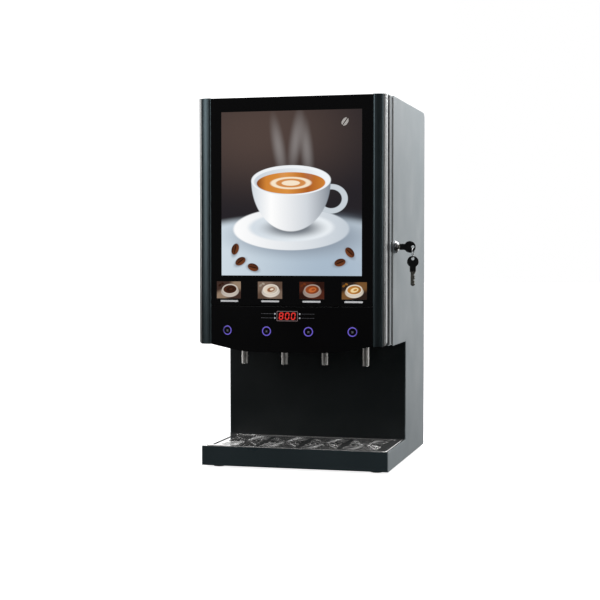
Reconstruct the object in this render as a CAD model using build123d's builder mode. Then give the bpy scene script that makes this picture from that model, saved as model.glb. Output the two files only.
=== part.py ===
"""Countertop vending machine for four hot instant drinks.

The pieces are drawn in case coordinates, in millimetres: X to the right as a customer sees it, with
0 on the middle of the case; Y towards the back, with 0 on the face of the door's glass; Z up, with
0 on the counter. Each is moved to the row frame as it is written, whose origin is the middle of
the underside of the machine's bounding box.
"""

from build123d import *
from math import asin, cos, radians, sin, sqrt, tan
import os

os.makedirs("parts", exist_ok=True)

# ---- driving dimensions ----
sheet = 1.5
foot_height = 4
case_half = 176
case_front = 62
case_back = 402
case_top = 682
head_bottom = 229
column_front = 194
base_front = 18
base_top = 40
rear_bend = 14

door_half = 175
door_bottom = 231.5
door_top = 680
door_front = 20
door_back = 58
module_top = 302
module_arc_depth = 25
module_half = 150.8
trim_inner = 151
trim_bottom = 231
trim_back = 12

station_pitch = 78.2
nozzle_y = 102
nozzle_tip = 187.5
tray_y = 108.5
auger_z = 414
whipper_z = 300
shelf_z = 396

lock_y = 76
lock_z = 409
hinge_x = -180.2
hinge_y = 60
hinge_heights = (300, 610)
key_hole_x = 209.8
inlet_x = 110
inlet_z = 70
power_x = -110

running_fit = 0.06

# ---- values that follow from them ----
inner_half = case_half - sheet
station_x = [(index - 1.5) * station_pitch for index in range(4)]
module_radius = (trim_inner**2 + module_arc_depth**2) / (2 * module_arc_depth)
module_centre_y = module_radius - module_arc_depth
back_inner = case_back - sheet
knuckle_radius = 4.3
lowest_x, highest_x = hinge_x - knuckle_radius, 220.3
lowest_y, highest_y = -module_arc_depth, 418
case_to_row = Location((-(lowest_x + highest_x) / 2, -(lowest_y + highest_y) / 2, 0))
on_base = (Align.CENTER, Align.CENTER, Align.MIN)


def write(piece, name, at=(0, 0, 0)):
    """Label a finished piece, move it to the row frame and write it."""
    placed = piece.part.moved(Location(at)).moved(case_to_row)
    placed.label = name
    export_step(placed, f"parts/{name}.step")


def block(x, y, z, mode=Mode.ADD):
    """Box between two values of X, of Y and of Z."""
    with Locations(((x[0] + x[1]) / 2, (y[0] + y[1]) / 2, (z[0] + z[1]) / 2)):
        Box(x[1] - x[0], y[1] - y[0], z[1] - z[0], mode=mode)


def rod(start, direction, radius, length, mode=Mode.ADD):
    """Cylinder from a point along a direction."""
    with Locations(Plane(start, z_dir=direction)):
        Cylinder(radius, length, align=on_base, mode=mode)


def nearest(corners, x, y):
    """The corner of a sketch nearest to a point of its plane."""
    return corners.sort_by(lambda corner: (corner.X - x) ** 2 + (corner.Y - y) ** 2)[0]


right, back, up = (1, 0, 0), (0, 1, 0), (0, 0, 1)
front = (0, -1, 0)

# ================= cabinet =================


def side_panel(hand):
    """C-shaped side sheet with a front and a rear return flange."""
    outer = hand * case_half
    inner = hand * inner_half
    with BuildPart() as panel:
        with BuildSketch(Plane.YZ.offset(min(outer, inner))) as outline:
            with BuildLine():
                Polyline(
                    (case_front, case_top),
                    (case_front, head_bottom),
                    (column_front, head_bottom),
                    (column_front, base_top),
                    (base_front, base_top),
                    (base_front, foot_height),
                    (case_back, foot_height),
                    (case_back, case_top),
                    close=True,
                )
            make_face()
            fillet(nearest(outline.vertices(), case_back, case_top), rear_bend)
        extrude(amount=sheet)
        front_lip = sorted((hand * 163, inner))
        rear_lip = sorted((hand * 160.5, inner))
        block(front_lip, (case_front, case_front + sheet), (232, 669))
        block(rear_lip, (back_inner - sheet, back_inner), (8, 645))
        for height in screw_heights:
            rod((hand * screw_x, back_inner - 3, height), back, 2.05, 4, Mode.SUBTRACT)
    return panel


screw_x = 167.5
screw_heights = (40, 190, 340, 490, 635)

left_panel = side_panel(-1)
write(left_panel, "side_panel_left")

right_panel = side_panel(1)
with BuildPart() as right_panel_bored:
    add(right_panel.part)
    rod((inner_half - 1, lock_y, lock_z), right, 9.1, 4, Mode.SUBTRACT)
write(right_panel_bored, "side_panel_right")

with BuildPart() as top_panel:
    with BuildSketch(Plane.YZ.offset(-inner_half)) as bent_sheet:
        with BuildLine():
            Polyline(
                (case_front, 670),
                (case_front, case_top),
                (case_back, case_top),
                (case_back, 650),
                (back_inner, 650),
                (back_inner, case_top - sheet),
                (case_front + sheet, case_top - sheet),
                (case_front + sheet, 670),
                close=True,
            )
        make_face()
        fillet(nearest(bent_sheet.vertices(), case_back, case_top), rear_bend)
        fillet(nearest(bent_sheet.vertices(), back_inner, case_top - sheet), rear_bend - sheet)
        fillet(nearest(bent_sheet.vertices(), case_front, case_top), 2.2)
        fillet(nearest(bent_sheet.vertices(), case_front + sheet, case_top - sheet), 0.7)
    extrude(amount=2 * inner_half)
write(top_panel, "top_panel")

with BuildPart() as rear_panel:
    block((-inner_half, inner_half), (back_inner, case_back), (6, 649.5))
    with BuildSketch(Plane.XZ.offset(-case_back)):
        for vent_z in (150, 590):
            with Locations((0, vent_z)):
                with GridLocations(24, 11, 7, 5):
                    SlotOverall(17, 4)
    extrude(amount=sheet, mode=Mode.SUBTRACT)
    block((power_x - 23.2, power_x + 23.2), (400, 403), (inlet_z - 13.2, inlet_z + 13.2), Mode.SUBTRACT)
    rod((inlet_x, 400, inlet_z), back, 14, 3, Mode.SUBTRACT)
    for height in screw_heights:
        for side in (-screw_x, screw_x):
            rod((side, 400, height), back, 2.15, 3, Mode.SUBTRACT)
write(rear_panel, "rear_panel")

with BuildPart() as base_pan:
    block((-inner_half, inner_half), (base_front, back_inner), (foot_height, foot_height + sheet))
    block((-inner_half, inner_half), (base_front, base_front + sheet), (foot_height, base_top))
write(base_pan, "base_pan")

with BuildPart() as tray_surround:
    block((-inner_half, inner_half), (base_front + sheet, column_front), (base_top - sheet, base_top))
    with BuildSketch(Plane.XY.offset(base_top)):
        with Locations((0, tray_y)):
            RectangleRounded(328, 159, 6)
    extrude(amount=-sheet, mode=Mode.SUBTRACT)
write(tray_surround, "tray_surround")

with BuildPart() as splash_back:
    block((-inner_half, inner_half), (column_front, column_front + sheet), (base_top, head_bottom))
    block((-inner_half, inner_half), (column_front + sheet, column_front + 12),
          (base_top, base_top + sheet))
write(splash_back, "splash_back")

with BuildPart() as underside_panel:
    block((-inner_half, inner_half), (case_front, column_front + sheet), (head_bottom, head_bottom + sheet))
    for x in station_x:
        rod((x, nozzle_y, head_bottom - 1), up, 7.5, 4, Mode.SUBTRACT)
write(underside_panel, "underside_panel")

mixer_plate_y = 166
motor_plate_y = 285
with BuildPart() as inner_chassis:
    block((-inner_half, inner_half), (126, motor_plate_y + 2), (shelf_z, shelf_z + 2))
    block((-inner_half, inner_half), (motor_plate_y, motor_plate_y + 2), (shelf_z + 2, 470))
    block((-inner_half, inner_half), (mixer_plate_y, mixer_plate_y + 2), (head_bottom + sheet, shelf_z))
    for x in station_x:
        rod((x, motor_plate_y - 1, auger_z), back, 9, 4, Mode.SUBTRACT)
        rod((x, mixer_plate_y - 1, whipper_z), back, 6, 4, Mode.SUBTRACT)
        rod((x, mixer_plate_y - 1, 386.5), back, 4.2, 4, Mode.SUBTRACT)
write(inner_chassis, "inner_chassis")

with BuildPart() as rubber_feet:
    for y in (45, 375):
        for x in (-150, 150):
            rod((x, y, 0), up, 12, foot_height)
    chamfer(rubber_feet.edges().filter_by(GeomType.CIRCLE).group_by(Axis.Z)[0], 0.8)
write(rubber_feet, "rubber_feet")

hinge_pin_radius = 2.2
with BuildPart() as hinge_body_leaves:
    for z in hinge_heights:
        block((-case_half - 1.5, -case_half), (hinge_y + 4.5, 92), (z - 30, z + 30))
        for low in (z - 30, z + 10.2):
            block((-case_half - 1.5, -case_half), (hinge_y + 2, hinge_y + 4.5), (low, low + 19.8))
            rod((hinge_x, hinge_y, low), up, knuckle_radius, 19.8)
        rod((hinge_x, hinge_y, z - 30), up, hinge_pin_radius, 60)
write(hinge_body_leaves, "hinge_body_leaves")

plug_radius = 6.5
with BuildPart() as lock_housing:
    rod((160, lock_y, lock_z), right, 9, 16)
    rod((case_half, lock_y, lock_z), right, 11.5, 3)
    with Locations(Plane((case_half + 3, lock_y, lock_z), z_dir=right)):
        Cone(11.5, 8, 4, align=on_base)
    with BuildSketch(Plane.YZ.offset(170)):
        with Locations((lock_y, lock_z)):
            RegularPolygon(11.9, 6)
    extrude(amount=inner_half - 170)
    rod((159, lock_y, lock_z), right, plug_radius + running_fit, 26, Mode.SUBTRACT)
write(lock_housing, "lock_housing")

# ---- ingredient canisters, mixing bowls and what drives them ----

canister_half = 36
canister_front = 84
canister_back = 280
canister_top = 640
trough_radius = auger_z - (shelf_z + 2)
canister_wall = 1.8
shoulder_z = 462
shoulder_reach = sqrt(canister_half**2 + (shoulder_z - auger_z) ** 2)
tangent_turn = radians(90) - asin(trough_radius / shoulder_reach)
shoulder_turn = asin((shoulder_z - auger_z) / shoulder_reach)
tangent_angle = shoulder_turn - tangent_turn


def hopper_profile(wall):
    """Cross-section of a canister, drawn a wall's thickness inside its outer face."""
    radius = trough_radius - wall
    half = canister_half - wall
    shoulder = shoulder_z + wall * 0.4
    touch_x = radius * cos(tangent_angle)
    touch_z = auger_z + radius * sin(tangent_angle)
    with BuildSketch() as profile:
        with BuildLine():
            Polyline((-touch_x, touch_z), (-half, shoulder), (-half, canister_top), (half, canister_top),
                     (half, shoulder), (touch_x, touch_z))
            ThreePointArc((touch_x, touch_z), (0, auger_z - radius), (-touch_x, touch_z))
        make_face()
    return profile.sketch


with BuildPart() as canister:
    with BuildSketch(Plane.XZ.offset(-canister_front)):
        add(hopper_profile(0))
    extrude(amount=canister_front - canister_back)
    block((-13, 13), (86, 110), (391, 405))
    with BuildSketch(Plane.XZ.offset(-(canister_front + canister_wall))):
        add(hopper_profile(canister_wall))
    extrude(amount=canister_front + 2 * canister_wall - canister_back, mode=Mode.SUBTRACT)
    block((-11, 11), (88, 108), (390, auger_z), Mode.SUBTRACT)
    rod((0, 277, auger_z), back, 4.3, 5, Mode.SUBTRACT)


with BuildPart() as canister_lids:
    for x in station_x:
        block((x - canister_half, x + canister_half), (canister_front, canister_back), (640, 642))
        block((x - 33.8, x + 33.8), (86.2, 277.8), (634, 640))
        block((x - 31.8, x + 31.8), (88.2, 275.8), (633, 640), Mode.SUBTRACT)
        block((x - 2, x + 2), (150, 214), (642, 650))
write(canister_lids, "canister_lids")

auger_pitch = 18
auger_turns = 9.5
flight_inner = 3.6
flight_outer = 12.8
with BuildPart() as auger:
    rod((0, 92, auger_z), back, 4, 204)
    with BuildLine() as flight_path:
        Helix(auger_pitch, auger_pitch * auger_turns, (flight_inner + flight_outer) / 2,
              center=(0, 96, auger_z), direction=back)
    flight_start = flight_path.line @ 0
    flight_heading = flight_path.line % 0
    with BuildSketch(Plane(flight_start, x_dir=up, z_dir=flight_heading)):
        Rectangle(flight_outer - flight_inner, 1.6)
    sweep(is_frenet=True)

motor_front = motor_plate_y - 3
with BuildPart() as dosing_motors:
    for x in station_x:
        rod((x, motor_front, auger_z), back, 8, 6)
        block((x - 22, x + 22), (motor_plate_y + 2, 315), (auger_z - 22, auger_z + 22))
        rod((x, 315, auger_z), back, 13.5, 30)
        rod((x, 345, auger_z), back, 5, 3)
        rod((x, motor_front, auger_z), back, 4 + running_fit, 15, Mode.SUBTRACT)
    fillet(dosing_motors.edges().filter_by(Axis.Y).filter_by(lambda e: e.length > 27), 3)
write(dosing_motors, "dosing_motors")

bowl_y = 118
bowl_rim_z = 380
chamber_front = 94
outlet_bottom = 262
outlet_radius = 5.5
nozzle_bore = 4.5
with BuildPart() as bowl:
    with BuildSketch(Plane.XZ):
        Polygon((0, 310), (16, 310), (16, 316), (29.5, 356), (31, bowl_rim_z), (0, bowl_rim_z), align=None)
    revolve(axis=Axis.Z)
    bowl_outer = bowl.part
with BuildPart() as mixing_bowl:
    with Locations((0, bowl_y, 0)):
        add(bowl_outer)
    rod((0, chamber_front, whipper_z), back, 22, mixer_plate_y - chamber_front)
    rod((0, nozzle_y, outlet_bottom), up, 7.5, 26)
    with BuildSketch(Plane((0, bowl_y, 0), x_dir=right, z_dir=front)):
        Polygon((0, 305), (14, 305), (14, 316), (27.5, 356), (29, bowl_rim_z), (0, bowl_rim_z), align=None)
    revolve(axis=Axis((0, bowl_y, 0), up), mode=Mode.SUBTRACT)
    rod((0, chamber_front + 2, whipper_z), back, 20, mixer_plate_y - chamber_front, Mode.SUBTRACT)
    rod((0, nozzle_y, outlet_bottom), up, outlet_radius + running_fit, 14.1, Mode.SUBTRACT)
    rod((0, nozzle_y, outlet_bottom), up, nozzle_bore, 30, Mode.SUBTRACT)
with BuildPart() as mixing_bowls:
    with Locations([(x, 0, 0) for x in station_x]):
        add(mixing_bowl.part)
write(mixing_bowls, "mixing_bowls")

with BuildPart() as impeller:
    rod((0, 118, whipper_z), back, 3, 58)
    rod((0, 128, whipper_z), back, 15, 3)
    for turn in range(4):
        with Locations(Plane((0, 118, whipper_z), z_dir=back).rotated((0, 0, 90 * turn))):
            with Locations((7.5, 0, 0)):
                Box(13, 2, 10, align=on_base)

with BuildPart() as mixer_motors:
    for x in station_x:
        rod((x, mixer_plate_y + 2, whipper_z), back, 18, 38)
        rod((x, 206, whipper_z), back, 12, 4)
        rod((x, mixer_plate_y + 2, whipper_z), back, 3 + running_fit, 12, Mode.SUBTRACT)
write(mixer_motors, "mixer_motors")

nozzle_top = outlet_bottom + 14
with BuildPart() as nozzles:
    for x in station_x:
        rod((x, nozzle_y, nozzle_tip), up, 6, outlet_bottom - 3 - nozzle_tip)
        rod((x, nozzle_y, 201), up, 6.6, 2)
        rod((x, nozzle_y, nozzle_tip), up, outlet_radius, nozzle_top - nozzle_tip)
    chamfer(nozzles.edges().filter_by(GeomType.CIRCLE).group_by(Axis.Z)[0], 0.5)
    for x in station_x:
        rod((x, nozzle_y, nozzle_tip - 1), up, nozzle_bore, 93, Mode.SUBTRACT)
write(nozzles, "nozzles")

# ---- water: inlet valve, boiler, outlet valves and hoses ----

boiler_x = -92
boiler_y = 292
boiler_radius = 60
with BuildPart() as boiler:
    with BuildSketch(Plane((boiler_x, boiler_y, 0), x_dir=right, z_dir=front)) as half_section:
        with BuildLine():
            Polyline((0, foot_height + sheet), (46, foot_height + sheet), (46, 12), (boiler_radius, 24),
                     (boiler_radius, 214))
            RadiusArc((boiler_radius, 214), (0, 230), -121)
            Line((0, 230), (0, foot_height + sheet))
        make_face()
    revolve(axis=Axis((boiler_x, boiler_y, 0), up))
    rod((boiler_x, boiler_y, 228), up, 7, 10)
    rod((boiler_x + boiler_radius - 2, boiler_y, 45), right, 7, 8)
write(boiler, "boiler")

with BuildPart() as water_valves:
    block((-135, 135), (242, 260), (326, 338))
    rod((boiler_x, 251, 322), up, 6, 5)
    for x in station_x:
        block((x - 12, x + 12), (236, 266), (338, 362))
        rod((x, 251, 362), up, 11, 28)
        rod((x, 228, 350), back, 4.5, 8)
write(water_valves, "water_valves")

hose_radius = 3.2


def hose(name, points):
    """Round hose along straight runs joined by tangent arcs; returns the bend radii."""
    corners = [Vector(*point) for point in points]
    radii = []
    for before, corner, after in zip(corners, corners[1:], corners[2:]):
        turn = radians((corner - before).get_angle(after - corner))
        run = min((corner - before).length, (after - corner).length)
        radii.append(0.45 * run / tan(turn / 2))
    with BuildPart() as tube:
        with BuildLine() as route:
            FilletPolyline(*points, radius=radii)
        with BuildSketch(Plane(route.line @ 0, z_dir=route.line % 0)):
            Circle(hose_radius)
        sweep()
    print(name, "bend radii", [round(radius, 1) for radius in radii])
    return tube.part


feed_hoses = [
    hose("feed", [(x, 228, 350), (x, 212, 350), (x, 196, 386.5), (x, 140, 386.5)]) for x in station_x
]
supply_hose = hose(
    "supply", [(boiler_x, boiler_y, 238), (boiler_x, 292, 262), (boiler_x, 251, 300), (boiler_x, 251, 322)]
)
fill_hose = hose("fill", [(96, 386, 70), (48, 386, 70), (10, 292, 45), (boiler_x + 66, 292, 45)])
with BuildPart() as water_hoses:
    add(feed_hoses)
    add(supply_hose)
    add(fill_hose)
write(water_hoses, "water_hoses")

with BuildPart() as water_inlet:
    rod((inlet_x, 398, inlet_z), back, 13.2, 20)
    with BuildSketch(Plane.XZ.offset(-case_back)):
        with Locations((inlet_x, inlet_z)):
            RegularPolygon(18, 6)
    extrude(amount=-4)
    block((inlet_x - 14, inlet_x + 14), (372, 398), (inlet_z - 14, inlet_z + 14))
    rod((inlet_x, 385, inlet_z + 14), up, 13, 30)
    rod((inlet_x, 404, inlet_z), back, 8, 14, Mode.SUBTRACT)
write(water_inlet, "water_inlet")

# ---- electrics ----

with BuildPart() as main_board:
    block((-95, 95), (378, 379.6), (450, 640))
    for x in (-88, 88):
        for z in (457, 633):
            rod((x, 379.6, z), back, 3, back_inner - 379.6)
    for x in (-60, -35, -10, 15):
        block((x, x + 16), (362, 378), (600, 629))
    for x in (-80, -45, -10, 25):
        block((x, x + 26), (368, 378), (456, 468))
    block((-30, 2), (375.5, 378), (520, 552))
    rod((60, 378, 520), front, 12, 24)
    rod((60, 378, 560), front, 9, 20)
    block((30, 86), (358, 378), (585, 630))
write(main_board, "main_board")

with BuildPart() as power_supply:
    block((55, 165), (240, 340), (foot_height + sheet, 50))
    with BuildSketch(Plane.XY.offset(50)):
        with Locations((110, 290)):
            with GridLocations(9, 9, 9, 8):
                Circle(2.6)
    extrude(amount=-1.5, mode=Mode.SUBTRACT)
    block((60, 160), (236, 240), (12, 30))
write(power_supply, "power_supply")

socket_x = power_x - 9.5
rocker_x = power_x + 13.8
with BuildPart() as power_inlet:
    block((power_x - 23, power_x + 23), (376, case_back), (inlet_z - 13, inlet_z + 13))
    block((power_x - 26, power_x + 26), (case_back, 404), (inlet_z - 16, inlet_z + 16))
    with BuildSketch(Plane.XZ.offset(-404)):
        with Locations((socket_x, inlet_z)):
            RectangleRounded(23, 16.5, 2)
    extrude(amount=17, mode=Mode.SUBTRACT)
    block((rocker_x - 6.7, rocker_x + 6.7), (387, 405), (inlet_z - 10.8, inlet_z + 10.8), Mode.SUBTRACT)
    for offset_x, offset_z in ((-7, -1.6), (0, 2.2), (7, -1.6)):
        block((socket_x + offset_x - 1, socket_x + offset_x + 1), (386, 401),
              (inlet_z + offset_z - 2, inlet_z + offset_z + 2))
    for offset_x in (-14, 0, 14):
        block((power_x + offset_x - 3, power_x + offset_x + 3), (368, 376), (inlet_z - 0.4, inlet_z + 0.4))
write(power_inlet, "power_inlet")

rocker_tilt = -7
with BuildPart() as power_rocker:
    with BuildSketch(Plane.YZ.offset(rocker_x - 6.4)):
        with Locations((398, inlet_z)):
            Polygon((-6, -9.2), (6.8, -9.4), (5.2, 0), (6.8, 9.4), (-6, 9.2), (-9, 0), align=None,
                    rotation=rocker_tilt)
    extrude(amount=12.8)
write(power_rocker, "power_rocker")

with BuildPart() as panel_screws:
    for height in screw_heights:
        for side in (-screw_x, screw_x):
            rod((side, back_inner - 4, height), back, 1.95, 4 + sheet)
            with Locations(Plane((side, case_back, height), z_dir=back)):
                Cone(3.8, 2.6, 2.2, align=on_base)
            block((side - 0.5, side + 0.5), (case_back + 1, case_back + 3), (height - 2, height + 2),
                  Mode.SUBTRACT)
            block((side - 2, side + 2), (case_back + 1, case_back + 3), (height - 0.5, height + 0.5),
                  Mode.SUBTRACT)
write(panel_screws, "panel_screws")

for number, x in enumerate(station_x, start=1):
    write(canister, f"canister_{number}", (x, 0, 0))
    write(auger, f"auger_{number}", (x, 0, 0))
    write(impeller, f"impeller_{number}", (x, 0, 0))

# ================= lock, keys, drip tray =================

with BuildPart() as lock_plug:
    rod((157, lock_y, lock_z), right, plug_radius, 26.2)
    block((157, 159), (lock_y - 17, lock_y), (lock_z - 5, lock_z + 5))
    block((159, 184), (lock_y - 1.2, lock_y + 1.2), (lock_z - 4.3, lock_z + 4.3), Mode.SUBTRACT)
write(lock_plug, "lock_plug")

# The key lies along X with the middle of its ring hole at the origin.
bow_radius = 10.5
bow_offset = 5.5
ring_wire = 0.8
ring_radius = 9
ring_hang = 1.7
with BuildPart() as key_shape:
    rod((-bow_offset, -1.6, 0), back, bow_radius, 3.2)
    block((-25, -bow_offset), (-1.6, 1.6), (-5.5, 5.5))
    fillet(key_shape.edges().filter_by(Axis.Y).sort_by(Axis.X)[:2], 1.5)
    block((-49.8, -20), (-1, 1), (-4, 4))
    chamfer(key_shape.edges().filter_by(Axis.Y).sort_by(Axis.X)[:2], 2.4)
    for bite, depth in ((-44, 1.4), (-39, 2.2), (-34, 1.0), (-29.5, 1.8)):
        with BuildSketch(Plane.XZ.offset(-2)):
            with Locations((bite, -4)):
                Polygon((-2.2, 0), (2.2, 0), (0.6, depth), (-0.6, depth), align=None)
        extrude(amount=4, mode=Mode.SUBTRACT)
    rod((0, -2, 0), back, 3, 4, Mode.SUBTRACT)

with BuildPart() as key:
    with Locations((key_hole_x, lock_y, lock_z)):
        add(key_shape.part)
write(key, "key")

ring_centre_z = lock_z - ring_hang - ring_radius
with BuildPart() as key_ring:
    with Locations(Plane((key_hole_x, lock_y, ring_centre_z), z_dir=right)):
        Torus(ring_radius, ring_wire)
write(key_ring, "key_ring")

with BuildPart() as spare_key:
    with Locations((key_hole_x, lock_y, ring_centre_z - ring_radius - ring_hang)):
        with Locations(Rotation(0, -90, 0)):
            add(key_shape.part)
write(spare_key, "spare_key")

with BuildPart() as drip_tray:
    tray_layers = ((316, 147, 6, 9, 30), (324, 155, 8, 36, 5), (342, 168, 9, 40, 1))
    for width, depth, radius, low, height in tray_layers:
        with BuildSketch(Plane.XY.offset(low)):
            with Locations((0, tray_y)):
                RectangleRounded(width, depth, radius)
        extrude(amount=height)
    for width, depth, radius, low in ((314, 145, 5, 10), (322, 153, 7, 37)):
        with BuildSketch(Plane.XY.offset(low)):
            with Locations((0, tray_y)):
                RectangleRounded(width, depth, radius)
        extrude(amount=45 - low, mode=Mode.SUBTRACT)
write(drip_tray, "drip_tray")

grid_top = 39.6
grid_thick = 1.2
swirl_y = 105
slot_width = 4
swirl_rings = ((10, 2, 26), (20, 4, 18), (30, 5, 12))
swirl_caps = ((41, 52), (52, 38), (63, 31))
slot_arcs = []
for x in station_x:
    for radius, count, gap in swirl_rings:
        for index in range(count):
            start = 360 / count * index + radius * 2
            slot_arcs.append(CenterArc((x, swirl_y), radius, start, 360 / count - gap))
    for radius, half_turn in swirl_caps:
        for middle in (90, 270):
            slot_arcs.append(CenterArc((x, swirl_y), radius, middle - half_turn, 2 * half_turn))
with BuildPart() as drip_grid:
    with BuildSketch(Plane.XY.offset(grid_top)):
        with Locations((0, tray_y)):
            RectangleRounded(321, 152, 7)
        for arc in slot_arcs:
            SlotArc(arc, slot_width, mode=Mode.SUBTRACT)
        with Locations((-148, 172), (148, 172)):
            Circle(5.5, mode=Mode.SUBTRACT)
    extrude(amount=-grid_thick)
    with BuildSketch(Plane.XY.offset(grid_top - grid_thick)):
        with Locations((0, tray_y)):
            RectangleRounded(321, 152, 7)
            RectangleRounded(317, 148, 5, mode=Mode.SUBTRACT)
    extrude(amount=-1.3)
write(drip_grid, "drip_grid")

# ================= door =================

with BuildPart() as door_shell:
    block((-door_half, door_half), (door_front, door_back), (door_bottom, door_top))
    block((-171, 171), (trim_back, door_front), (235, 677))
    block((-173.5, 173.5), (door_front + sheet, door_back - sheet), (door_bottom + sheet, door_top - sheet),
          Mode.SUBTRACT)
    block((-163.5, 163.5), (door_back - 3, door_back + 1), (door_bottom + 10, door_top - 10), Mode.SUBTRACT)
    block((-169.5, 169.5), (13.5, door_front + 2), (236.5, 675.5), Mode.SUBTRACT)
    block((-150.4, 150.4), (11, 14), (240, 674), Mode.SUBTRACT)
    block((168, 176), (47, 59), (lock_z - 9, lock_z + 9), Mode.SUBTRACT)
write(door_shell, "door_shell")


lip_edge = 155.5
bead_edge = 167.4


def side_trim(hand):
    """Upright trim with a rounded inner lip, a gently crowned face and a round outer bead."""
    with BuildPart() as trim:
        with BuildSketch(Plane.XY.offset(trim_bottom)):
            with BuildLine():
                Polyline((hand * door_half, 5.5), (hand * door_half, trim_back),
                         (hand * trim_inner, trim_back), (hand * trim_inner, 0.3))
                ThreePointArc((hand * trim_inner, 0.3), (hand * 152.7, -1.1), (hand * lip_edge, -1.6))
                ThreePointArc((hand * lip_edge, -1.6), (hand * 161.5, -1.2), (hand * (bead_edge - 0.3), 0.6))
                Line((hand * (bead_edge - 0.3), 0.6), (hand * bead_edge, 1.6))
                ThreePointArc((hand * bead_edge, 1.6), (hand * 172.3, 1.5), (hand * door_half, 5.5))
            make_face()
        extrude(amount=door_top - trim_bottom)
        with BuildSketch(Plane.XZ.offset(-trim_back - 1)) as face_outline:
            with BuildLine():
                Polyline((hand * 150, trim_bottom - 1), (hand * 150, door_top + 1),
                         (hand * door_half, door_top + 1), (hand * door_half, trim_bottom), close=True)
            make_face()
            fillet(nearest(face_outline.vertices(), hand * door_half, trim_bottom), 8)
        extrude(amount=16, mode=Mode.INTERSECT)
    return trim


left_trim = side_trim(-1)
write(left_trim, "trim_left")
right_trim = side_trim(1)
write(right_trim, "trim_right")

glass_thick = 3
picture_half = 131
picture_low, picture_high = 357, 654
drink_width, drink_low, drink_high = 46, 315, 346
with BuildPart() as front_glass:
    block((-module_half, module_half), (0, glass_thick), (module_top + 0.5, door_top - 0.5))
    block((-picture_half, picture_half), (-1, 4), (picture_low, picture_high), Mode.SUBTRACT)
    for x in station_x:
        block((x - drink_width / 2, x + drink_width / 2), (-1, 4), (drink_low, drink_high), Mode.SUBTRACT)
write(front_glass, "front_glass")

film_gap = 0.05
with BuildPart() as poster_film:
    block((-picture_half + film_gap, picture_half - film_gap), (0.4, 2.4),
          (picture_low + film_gap, picture_high - film_gap))
    for x in station_x:
        block((x - drink_width / 2 + film_gap, x + drink_width / 2 - film_gap), (0.4, 2.4),
              (drink_low + film_gap, drink_high - film_gap))
write(poster_film, "poster_film")

with BuildPart() as light_box:
    block((-149.5, 149.5), (3.5, 50), (306, 672))
    block((-148, 148), (3, 48.5), (307.5, 670.5), Mode.SUBTRACT)
    for index in range(7):
        block((-136, 136), (46.9, 48.5), (330 + 50 * index, 340 + 50 * index))
write(light_box, "light_box")

# ---- control module ----

module_wall = 2.5
module_rear = 11.5
button_z = 257.5
display_z = 285
chin_half = 85
chin_bottom = 219.5
chin_radius = 250


def module_plan(inset, rear):
    """Plan of the module: a shallow bow in front of a straight rear edge."""
    radius = module_radius - inset
    half = module_half - inset
    edge_y = module_centre_y - sqrt(radius**2 - half**2)
    with BuildSketch(Plane.XY.offset(210)) as plan:
        with BuildLine():
            Polyline((-half, edge_y), (-half, rear), (half, rear), (half, edge_y))
            ThreePointArc((half, edge_y), (0, module_centre_y - radius), (-half, edge_y))
        make_face()
    return plan.sketch


def module_face(inset):
    """Front outline of the module: a straight top and a chin that curves down to a flat."""
    with BuildSketch(Plane.XZ.offset(-30)) as face:
        with BuildLine():
            Polyline((-module_half, module_top), (module_half, module_top), (module_half, trim_bottom),
                     (chin_half, chin_bottom), (-chin_half, chin_bottom), (-module_half, trim_bottom),
                     close=True)
        make_face()
        fillet(nearest(face.vertices(), chin_half, chin_bottom), chin_radius)
        fillet(nearest(face.vertices(), -chin_half, chin_bottom), chin_radius)
        if inset:
            offset(amount=-inset, mode=Mode.REPLACE)
    return face.sketch


def button_plane(x):
    """Plane on the module's bowed face at a button, facing outwards."""
    turn = asin(x / module_radius)
    y = module_centre_y - module_radius * cos(turn)
    return Plane((x, y, button_z), x_dir=(cos(turn), sin(turn), 0), z_dir=(sin(turn), -cos(turn), 0))


with BuildPart() as module_cavity:
    extrude(module_plan(module_wall, 9), amount=100)
    extrude(module_face(module_wall), amount=80, dir=front, mode=Mode.INTERSECT)

with BuildPart() as control_panel:
    extrude(module_plan(0, module_rear), amount=100)
    extrude(module_face(0), amount=80, dir=front, mode=Mode.INTERSECT)
    add(module_cavity.part, mode=Mode.SUBTRACT)
    block((-146, 146), (8, 12), (240, 298), Mode.SUBTRACT)
    block((-19.6, 19.6), (-27, -20), (display_z - 9.1, display_z + 9.1), Mode.SUBTRACT)
    for x in station_x:
        with Locations(button_plane(x).offset(-6)):
            Cylinder(9.05, 8, align=on_base, mode=Mode.SUBTRACT)
write(control_panel, "control_panel")

with BuildPart() as display_module:
    block((-19.5, 19.5), (-24.8, -21.8), (display_z - 9, display_z + 9))
    block((-16, 16), (-21.8, -13), (display_z - 7, display_z + 7))
write(display_module, "display_module")

with BuildPart() as button_rings:
    for x in station_x:
        with Locations(button_plane(x).offset(-3)):
            Cylinder(9, 3.6, align=on_base)
            Cylinder(6.6, 3.6, align=on_base, mode=Mode.SUBTRACT)
write(button_rings, "button_rings")

for number, x in enumerate(station_x, start=1):
    with BuildPart() as button:
        with Locations(button_plane(x).offset(-10)):
            Cylinder(6.3, 11, align=on_base)
        with Locations(button_plane(x).offset(-5.5)):
            Cylinder(8, 2.2, align=on_base)
    write(button, f"button_{number}")

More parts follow.
